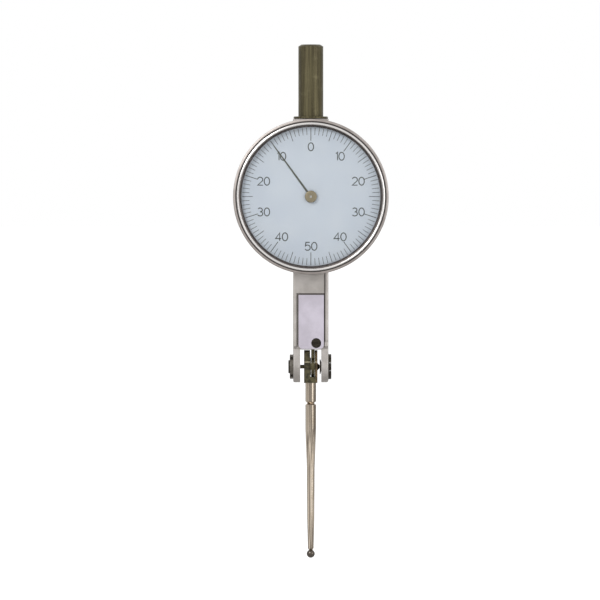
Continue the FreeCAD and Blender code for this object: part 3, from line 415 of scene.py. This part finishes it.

# %% [markdown]
# ## The ground stylus
# The stylus is a tapered rod of hardened steel, ground between centres and polished lengthwise.
# Bright and dark streaks run down it, partly grinding marks and partly painted reflections of a
# lighter and darker room. Streaks belong to a place round the rod, so the noise is squeezed round
# it and drawn out along it.

# %% Stylus steel
def ground_steel(name, dark, light, roughness):
    finish = Finish(name, Metallic=1.0)
    streaks_and_reflections = finish.noise(finish.stretched(2.6, 2.6, 0.02), 1.0, 3.0, 0.6)
    rings = finish.noise(finish.stretched(0.2, 0.2, 7.0), 1.0, 2.0, 0.5)
    stain = finish.ramp(finish.noise(finish.place, 0.3, 4.0, 0.6), 0.5, 0.72)
    # streaks: partly grinding marks, partly painted reflections of a lighter and darker room
    colour = finish.mix(finish.ramp(streaks_and_reflections, 0.34, 0.66), dark, light)
    colour = finish.mix(stain * 0.2, colour, tint(132, 112, 84))
    finish.paint(Base_Color=colour, Roughness=roughness + rings * 0.1)
    finish.bump(streaks_and_reflections * 0.7 + rings * 0.3, 0.006)
    return finish.material


stylus_steel = ground_steel("stylus_steel", tint(84, 75, 66), tint(214, 200, 182), roughness=0.2)
print("ground finish:", stylus_steel.name)

# %% [markdown]
# ## Finishes onto the solids
# The record names a material slot for every solid, and going through that list gives each one
# the finish of the same name. The lever, its friction leaf and its spindle show between the
# fork's ears, where the real ones are blackened with the holder, so they take its finish.

# %% Finishes onto the solids
finishes = dict(turned, satin_body=satin_body, front_plate=front_plate, olive_black=olive_black,
                black_steel=black_steel, grey_steel=grey_steel, bezel_plate=bezel_plate,
                dial_paint=dial_paint, crystal=crystal, stylus_steel=stylus_steel, needle_paint=needle_paint)
blackened_with_holder = {"measuring_lever", "friction_leaf", "pivot_spindle"}
for part in frame["record"]["subparts"]:
    solid = nodes[part["node"]]
    finish = olive_black if part["node"] in blackened_with_holder else finishes[part["material_slot"]]
    solid.data.materials.clear()
    solid.data.materials.append(finish)

# %% [markdown]
# ## Flat printed strokes
# Everything printed on the dial is a stroke of even width. A stroke is a strip of quads laid
# along a line of points, with its corners mitred. It lies in front of the dial by the thickness
# of the ink, so that it never flickers against the paint.

# %% Strokes of ink
ink_film = 0.02 * mm
sharpest_mitre = 0.5      # the cosine past which a mitred corner gets no longer


def strip(mesh, points, width):
    """A flat stroke along (x, z) points, in mm from the dial's middle."""
    closed = points[0] == points[-1] and len(points) > 2
    rails = []
    last = len(points) - 1
    for k, here in enumerate(points):
        before = points[k - 1] if k else (points[-2] if closed else None)
        after = points[k + 1] if k < last else (points[1] if closed else None)
        ways = [Vector(b) - Vector(a) for a, b in ((before, here), (here, after)) if a and b]
        normals = [Vector((-way.y, way.x)).normalized() for way in ways]
        normal = sum(normals, Vector((0, 0))).normalized()
        reach = width / 2 / max(sharpest_mitre, normal.dot(normals[0]))
        rails.append([(here[0] + normal.x * side * reach, here[1] + normal.y * side * reach)
                      for side in (-1, 1)])
    front = dial_low.y - ink_film
    verts = [[mesh.verts.new((dial_middle.x + x * mm, front, dial_middle.z + z * mm)) for x, z in rail]
             for rail in rails]
    for a, b in zip(verts, verts[1:]):
        mesh.faces.new((a[0], b[0], b[1], a[1]))


def printed(name, strokes):
    """One piece of print from (points, width) strokes. It turns with the bezel, as the dial does."""
    mesh = bmesh.new()
    for points, width in strokes:
        strip(mesh, points, width)
    data = bpy.data.meshes.new(name)
    mesh.to_mesh(data)
    mesh.free()
    piece = bpy.data.objects.new(name, data)
    bpy.context.scene.collection.objects.link(piece)
    data.materials.append(ink)
    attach(piece, "bezel_ring")
    print(name + ":", len(strokes), "strokes")


# %% [markdown]
# ## The hundred graduations
# A turn of the needle is divided into a hundred. Every fifth line is longer and every tenth is
# longest and heaviest, so the eye can count them. They point to the dial's middle and stop just
# short of its edge.

# %% Graduations
divisions = 100
outer_end = 16.45
inner_ends = {10: (13.35, 0.17), 5: (13.9, 0.14), 1: (14.75, 0.12)}     # every so many: (radius, width)


def on_dial(radius, turns):
    """(x, z) at a radius, a share of a turn clockwise from the top."""
    angle = turns * 2 * math.pi
    return radius * math.sin(angle), radius * math.cos(angle)


lines = []
for k in range(divisions):
    inner, width = next(end for every, end in inner_ends.items() if k % every == 0)
    lines.append(([on_dial(inner, k / divisions), on_dial(outer_end, k / divisions)], width))
printed("graduations", lines)

# %% [markdown]
# ## Numbers drawn by a pantograph
# The dial's numbers count up both ways from 0 at the top to 50 at the bottom. Their strokes have
# one even width and round bowls, as a pantograph draws them, so each digit is a few arcs and
# lines in a cell one unit high.

# %% Digits
def arc(x, z, across, up, first, last, steps=20):
    angles = [math.radians(first + (last - first) * k / steps) for k in range(steps + 1)]
    return [(x + across * math.cos(a), z + up * math.sin(a)) for a in angles]


oval = arc(0.34, 0.5, 0.34, 0.5, 90, 450)
oval[-1] = oval[0]      # closed exactly, so that its two ends are mitred together
digits = {
    "0": [oval],
    "1": [[(0.0, 0.84), (0.2, 1.0), (0.2, 0.0)]],
    "2": [arc(0.34, 0.69, 0.32, 0.31, 165, -30) + [(0.02, 0.0), (0.68, 0.0)]],
    "3": [arc(0.33, 0.75, 0.28, 0.25, 150, -90), arc(0.33, 0.27, 0.33, 0.27, 90, -150)],
    "4": [[(0.7, 0.28), (0.0, 0.28), (0.52, 1.0), (0.52, 0.0)]],
    "5": [[(0.62, 1.0), (0.14, 1.0), (0.08, 0.55)] + arc(0.34, 0.33, 0.34, 0.33, 140, -150)],
}
digit_height = 1.9
digit_width, narrow_digits = 0.68, {"1": 0.2}     # in cells one unit high, and so is the space
digit_space = 0.17
number_radius = 11.9
number_stroke = 0.24
numbers_round = 10


def number(text, turns):
    """The strokes of an upright number, centred at its place on the dial."""
    middle_x, middle_z = on_dial(number_radius, turns)
    widths = [narrow_digits.get(figure, digit_width) for figure in text]
    left = -(sum(widths) + digit_space * (len(text) - 1)) / 2
    strokes = []
    for figure, width in zip(text, widths):
        for points in digits[figure]:
            drawn = [(middle_x + (x + left) * digit_height, middle_z + (z - 0.5) * digit_height)
                     for x, z in points]
            strokes.append((drawn, number_stroke))
        left += width + digit_space
    return strokes


number_strokes = []
for k in range(numbers_round):
    value = divisions // numbers_round * min(k, numbers_round - k)
    number_strokes += number(str(value), k / numbers_round)
printed("numbers", number_strokes)

# %% [markdown]
# ## Turning a profile
# Rings and screws are made on a lathe, and a mesh is made the same way: a profile of radius and
# depth is carried round an axis. Only faces that meet at a shallow angle are shaded as one, so
# turned edges stay crisp.

# %% A lathe in mesh code
shallow = math.radians(32)
on_axis = 0.001       # the radius of a profile's end on its axis, all but a point


def place_piece(name, mesh, body, finish, solid):
    """Makes an object of a mesh, dresses it, and lets it ride on a body in place of a solid."""
    bmesh.ops.recalc_face_normals(mesh, faces=mesh.faces)
    data = bpy.data.meshes.new(name)
    mesh.to_mesh(data)
    mesh.free()
    data.shade_smooth()
    data.set_sharp_from_angle(angle=shallow)
    data.materials.append(finish)
    piece = bpy.data.objects.new(name, data)
    bpy.context.scene.collection.objects.link(piece)
    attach(piece, body)
    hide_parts(solid)
    return piece


def lathe(profile, axis, at, turns, fluted=(), flutes=0, depth=0.0):
    """A mesh turned round an axis ("x" or "y") from closed (radius, place) points in mm.

    The fluted rows of the profile are sunk by depth on every other step round the axis.
    """
    mesh = bmesh.new()
    rows = []
    for row, (radius, along) in enumerate(profile):
        ring = []
        for k in range(turns):
            angle = 2 * math.pi * k / turns
            sunk = depth if row in fluted and k * flutes * 2 // turns % 2 else 0.0
            across, up = (radius - sunk) * math.sin(angle) * mm, (radius - sunk) * math.cos(angle) * mm
            turned_x = (along * mm, at.y + across, at.z + up)
            turned_y = (at.x + across, along * mm, at.z + up)
            ring.append(mesh.verts.new(turned_x if axis == "x" else turned_y))
        rows.append(ring)
    for a, b in zip(rows, rows[1:] + rows[:1]):
        for k in range(turns):
            after = (k + 1) % turns
            mesh.faces.new((a[k], a[after], b[after], b[k]))
    return mesh


print("lathe ready")

# %% [markdown]
# ## The bezel ring
# The reader turns this ring to bring 0 under the needle. Its grip is a fine straight knurl sunk
# between two plain bands, and in front a polished crest stands inside a narrow groove. All of it
# is one profile, and the knurl is made by sinking every other step of its two rows.

# %% Bezel
front, rear = bezel_low.y / mm, bezel_high.y / mm
foot = front + 0.18                     # the face that the crest stands on
groove_floor = foot + 0.4
dial_back = dial_high.y / mm
shoulder_back = dial_back + 0.4         # the shoulder that carries the dial
bore, shoulder_bore, crystal_seat = bezel_radius - 1.3, bezel_radius - 2.3, bezel_radius - 1.64
crest_root, crest_flank, crest_top, crest_fall = [bezel_radius - r for r in (1.38, 1.3, 1.1, 0.9)]
crest_shoulder = front + 0.06
knurl_radius = bezel_radius - 0.08
knurl_front, knurl_rear = front + 1.25, rear - 1.0
knurl_slope = 0.12
edge = 0.3                              # the slope at the ring's outer corners
groove_inner, groove_outer = groove_radii
bezel_profile = [
    (bore, rear), (bore, shoulder_back), (shoulder_bore, shoulder_back),
    (shoulder_bore, dial_back), (crystal_seat, dial_back), (crystal_seat, front + 0.3),
    (crest_root, foot), (crest_flank, crest_shoulder), (crest_top, front),
    (crest_fall, crest_shoulder), (groove_inner, foot), (groove_inner, groove_floor),
    (groove_outer, groove_floor), (groove_outer, foot), (bezel_radius - edge, foot),
    (knurl_radius, foot + 0.1), (bezel_radius, foot + 0.35), (bezel_radius, knurl_front - knurl_slope),
    (knurl_radius, knurl_front), (knurl_radius, knurl_rear), (bezel_radius, knurl_rear + knurl_slope),
    (bezel_radius, rear - edge), (bezel_radius - edge, rear)]
knurl_rows = [bezel_profile.index((knurl_radius, y)) for y in (knurl_front, knurl_rear)]
ring = lathe(bezel_profile, "y", dial_middle, 600, knurl_rows, flutes=150, depth=0.14)
bezel_ring = place_piece("bezel_ring", ring, "bezel_ring", bezel_plate, "bezel")
print("bezel faces:", len(bezel_ring.data.polygons))

# %% [markdown]
# ## The needle
# A needle is a blade of thin brass, lacquered, and slightly roofed along its middle so that it
# doesn't bend. Two sloping faces meet at a ridge, and the blade narrows evenly to its tip.

# %% Needle
needle_low, needle_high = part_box("pointer_needle")
hub_low, hub_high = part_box("pointer_hub")
hub_middle = (hub_low + hub_high) / 2
needle_back, ridge = needle_high.y / mm, needle_low.y / mm
eaves = ridge + 0.045                   # where the sloping faces end, behind the ridge
root_half, tip_half = 0.26, 0.11
tip_start, tip_cut = 0.94, 0.45         # the last stretch narrows to this share of its width
run = needle_low.x - hub_middle.x, needle_high.z - hub_middle.z
lean = math.atan2(*run)
needle_reach = math.hypot(*run) / mm - 0.1
blade = bmesh.new()
sections = []
for share in (0.0, 0.25, 0.5, 0.75, tip_start, 1.0):
    half = (root_half * (1 - share) + tip_half * share) * (tip_cut if share == 1.0 else 1.0)
    out = share * needle_reach
    section = []
    for side, y in ((-half, needle_back), (-half, eaves), (0, ridge), (half, eaves), (half, needle_back)):
        x = out * math.sin(lean) + side * math.cos(lean)
        z = out * math.cos(lean) - side * math.sin(lean)
        section.append(blade.verts.new((hub_middle.x + x * mm, y * mm, hub_middle.z + z * mm)))
    sections.append(section)
for a, b in zip(sections, sections[1:]):
    for k in range(len(a)):
        after = (k + 1) % len(a)
        blade.faces.new((a[k], a[after], b[after], b[k]))
blade.faces.new(sections[0])
blade.faces.new(sections[-1])
place_piece("needle_blade", blade, "pointer", needle_paint, "pointer_needle")
print("needle:", round(needle_reach, 2), "mm long, leaning", round(math.degrees(lean), 1), "degrees")

# %% [markdown]
# ## Extruding and milling
# A block with one outline all the way through is drawn once, from the side, and extruded. Slots
# and holes are then cut with a Boolean, as a milling cutter would cut them. The cutters are
# blocks of the same kind, longer than the piece so that they come out on both sides.

# %% Blocks and cutters
def slab(outline, low, high):
    """A mesh from a closed (y, z) outline in mm, extruded along X from low to high."""
    mesh = bmesh.new()
    ends = [[mesh.verts.new((x * mm, y * mm, z * mm)) for y, z in outline] for x in (low, high)]
    for end in ends:
        mesh.faces.new(end)
    for k in range(len(outline)):
        after = (k + 1) % len(outline)
        mesh.faces.new((ends[0][k], ends[0][after], ends[1][after], ends[1][k]))
    bmesh.ops.recalc_face_normals(mesh, faces=mesh.faces)
    return mesh


def mill(piece, *cutters):
    """Cuts meshes from a piece, one after another."""
    for mesh in cutters:
        data = bpy.data.meshes.new("cutter")
        mesh.to_mesh(data)
        mesh.free()
        tool = bpy.data.objects.new("cutter", data)
        bpy.context.scene.collection.objects.link(tool)
        cut = piece.modifiers.new("cut", "BOOLEAN")
        cut.object, cut.solver = tool, "EXACT"
        made = bpy.data.meshes.new_from_object(piece.evaluated_get(bpy.context.evaluated_depsgraph_get()))
        piece.modifiers.clear()
        piece.data = made
        bpy.data.objects.remove(tool)
        bpy.data.meshes.remove(data)
    print(piece.name, "has", len(piece.data.polygons), "faces")


# %% [markdown]
# ## The stylus holder
# The holder is a small block that swivels stiffly on the lever's spindle. Above a bevel it gets
# thinner, and its top is round so that it clears the fork as it swings. The lever runs in a slot
# cut down from the top. A painted highlight runs along the bevel, and the right side has a bronze
# cast.

# %% Stylus holder
def scribed(bevel_highlight_z):
    """The holder's olive black, with a painted highlight along its bevel."""
    finish = Finish("olive_bevel_highlight", Metallic=0.6)
    cloud = finish.noise(finish.place, 1.4, detail=5)
    speck = finish.noise(finish.place, 9.0, detail=3)
    bronze = finish.ramp(finish.x, 0.9, 1.6) * finish.ramp(cloud, 0.3, 0.6)
    # a painted highlight along the bevel
    bevel_highlight = finish.near(finish.z, bevel_highlight_z, 0.06, 0.2)
    colour = finish.mix(finish.ramp(cloud, 0.35, 0.65), tint(48, 45, 30), tint(84, 78, 54))
    colour = finish.mix(bronze * 0.5, colour, tint(132, 98, 70))
    colour = finish.mix(bevel_highlight * (0.55 + speck * 0.4), colour, tint(196, 188, 160))
    # painted shade in corners and seams
    colour = finish.mix(finish.grime(0.5) * 0.7, colour, tint(24, 21, 16))
    finish.paint(Base_Color=colour, Roughness=0.42 + speck * 0.14)
    finish.bump(speck, 0.006)
    return finish.material


holder_low, holder_high = [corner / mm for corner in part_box("stylus_holder")]
lever_low, lever_high = [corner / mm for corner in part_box("measuring_lever")]
joint_places = {joint["name"]: joint["pos_m"] for joint in frame["record"]["behaviour"]["joints"]}
pivot = Vector(joint_places["lever_swing"]) / mm
deep, top = holder_high.y, holder_high.z - pivot.z
thin = deep - 0.2
bevel_low, bevel_high = pivot.z + 1.1, pivot.z + 1.3
crown_foot = math.sqrt(top ** 2 - thin ** 2)
crown = [(thin * math.cos(math.radians(a)),
          pivot.z + crown_foot + (top - crown_foot) * math.sin(math.radians(a))) for a in range(0, 181, 20)]
side_outline = [(-deep, holder_low.z), (deep, holder_low.z), (deep, bevel_low), (thin, bevel_high)]
side_outline += crown + [(-thin, bevel_high), (-deep, bevel_low)]
block = slab(side_outline, holder_low.x, holder_high.x)
holder = place_piece("holder_block", block, "stylus", scribed((bevel_low + bevel_high) / 2),
                     "stylus_holder")

beyond = 3                              # how far the cutters reach from the pivot, outside the block
leaf_room, side_gap, floor_gap = 0.26, 0.03, 0.04
slot_floor, slot_top = lever_low.z - floor_gap, pivot.z + 2 * beyond
slot = slab([(-beyond, slot_floor), (beyond, slot_floor), (beyond, slot_top), (-beyond, slot_top)],
            lever_low.x - leaf_room, lever_high.x + side_gap)
spindle_bore = 0.78
spindle_hole = slab([(spindle_bore * math.cos(math.radians(a)),
                      pivot.z + spindle_bore * math.sin(math.radians(a))) for a in range(0, 360, 12)],
                    -beyond, beyond)
mill(holder, slot, spindle_hole)
rounding = holder.modifiers.new("worn edges", "BEVEL")
rounding.width, rounding.segments, rounding.angle_limit = 0.05 * mm, 2, math.radians(30)

# %% [markdown]
# ## The keyed pivot screw
# The right pivot screw is set with a two-bladed key, so its broad head has two narrow slots side
# by side. Head, shank and the hollow cone that carries the spindle's point are turned from one
# profile, and the slots are milled across the head.

# %% Right pivot screw
turned_edge = 0.12
shank_radius = 1.6
seat_radius, seat_depth = 0.62, 0.55    # the hollow cone
screw_steps = 96
slot_reach = 4                          # half the length of a slot's cutter, past any screw's rim
screw_low, screw_high = [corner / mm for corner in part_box("pivot_screw_right")]
head_radius = screw_high.z - pivot.z
face_x, ear_x = screw_high.x, cover_high.x
head_profile = [
    (on_axis, face_x), (head_radius - turned_edge, face_x), (head_radius, face_x - turned_edge),
    (head_radius, ear_x), (shank_radius, ear_x), (shank_radius, screw_low.x),
    (seat_radius, screw_low.x), (on_axis, screw_low.x + seat_depth)]
screw = place_piece("keyed_screw", lathe(head_profile, "x", pivot * mm, screw_steps), "frame",
                    black_steel, "pivot_screw_right")


def slot_cutter(half_width, tilt, height, low, high):
    """A cutter for a slot across a screw's face, tilted about the pivot or set above it."""
    corners = [(-slot_reach, -half_width), (slot_reach, -half_width),
               (slot_reach, half_width), (-slot_reach, half_width)]
    c, s = math.cos(tilt), math.sin(tilt)
    return slab([(u * c - v * s, pivot.z + height + u * s + v * c) for u, v in corners], low, high)


key_half_width, key_depth, key_offset = 0.16, 0.58, 0.95
mill(screw, *[slot_cutter(key_half_width, 0, height, face_x - key_depth, face_x + 1)
              for height in (-key_offset, key_offset)])

# %% [markdown]
# ## The left pivot screw
# This screw sets the play of the pivot and is held by the nut beside it. It stops wherever the
# play is right, so its driver slot lies at a slant.

# %% Left pivot screw
left_low, left_high = [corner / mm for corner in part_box("pivot_screw_left")]
end_radius = left_high.z - pivot.z
end_profile = [
    (on_axis, left_high.x - seat_depth), (seat_radius, left_high.x), (end_radius, left_high.x),
    (end_radius, left_low.x + turned_edge), (end_radius - turned_edge, left_low.x), (on_axis, left_low.x)]
left_screw = place_piece("set_screw", lathe(end_profile, "x", pivot * mm, screw_steps), "frame",
                         black_steel, "pivot_screw_left")
driver_half_width, driver_depth, slant = 0.2, 0.35, math.radians(62)
mill(left_screw, slot_cutter(driver_half_width, slant, 0, left_low.x - 1, left_low.x + driver_depth))

# %% [markdown]
# ## Floor and light
# The indicator hangs over a plain pale floor in a white room. To the camera, and in whatever the
# metal mirrors, the room is white, and softer light than that falls on the object itself. A
# broad lamp above on the left gives the long highlights, and a weak one on the right opens the
# shadows.

# %% Room
soft_light, white = 0.55, 1.0


def white_room():
    world = bpy.data.worlds.new("room")
    world.use_nodes = True
    bpy.context.scene.world = world
    room = Tree(world.node_tree)
    seen, mirrored, through = [room.node("ShaderNodeLightPath", out=ray) for ray in
                               ("Is Camera Ray", "Is Glossy Ray", "Is Transmission Ray")]
    background = world.node_tree.nodes["Background"]
    shown = seen.larger(mirrored).larger(through)
    room.feed(background.inputs["Strength"], shown * (white - soft_light) + soft_light)
    room.feed(background.inputs["Color"], (1, 1, 1, 1))


def lamp(name, place, width, height, watts):
    """A rectangular area lamp that points at the middle of the part."""
    data = bpy.data.lights.new(name, "AREA")
    data.shape = "RECTANGLE"
    data.size, data.size_y = width, height
    data.energy = watts
    made = bpy.data.objects.new(name, data)
    made.location = place
    made.rotation_euler = (centre - Vector(place)).to_track_quat("-Z", "Y").to_euler()
    bpy.context.scene.collection.objects.link(made)


white_room()
lamp("key", (-0.35, -0.55, 0.35), 0.25, 0.4, watts=3.0)
lamp("fill", (0.5, -0.45, 0.05), 0.3, 0.4, watts=1.0)
print("lamps:", len(bpy.data.lights))

# %% [markdown]
# ## The floor
# The floor is matt and pale, and keeps the object's shadow. To the camera alone it glows a
# little, which brings it up to the white of the room without lighting the object.

# %% Floor
floor_half, floor_drop = 6.0, 25 * mm
floor_glow = 0.6


def pale_floor():
    finish = Finish("floor", Roughness=0.9, Emission_Strength=floor_glow, Base_Color=(0.9, 0.9, 0.9, 1))
    seen = finish.node("ShaderNodeLightPath", out="Is Camera Ray")
    finish.paint(Emission_Color=finish.mix(seen, (0, 0, 0, 1), (1, 1, 1, 1)))
    mesh = bmesh.new()
    under = cad_box[0].z - floor_drop
    mesh.faces.new([mesh.verts.new((x * floor_half, y * floor_half, under))
                    for x, y in ((-1, -1), (1, -1), (1, 1), (-1, 1))])
    data = bpy.data.meshes.new("floor")
    mesh.to_mesh(data)
    mesh.free()
    floor = bpy.data.objects.new("floor", data)
    bpy.context.scene.collection.objects.link(floor)
    data.materials.append(finish.material)
    print("floor at z", round(under / mm, 1), "mm")


pale_floor()

# %% [markdown]
# ## The view transform
# The view transform stays plain, so that a colour renders as it is written.

# %% View transform
bpy.context.scene.view_settings.view_transform = "Standard"
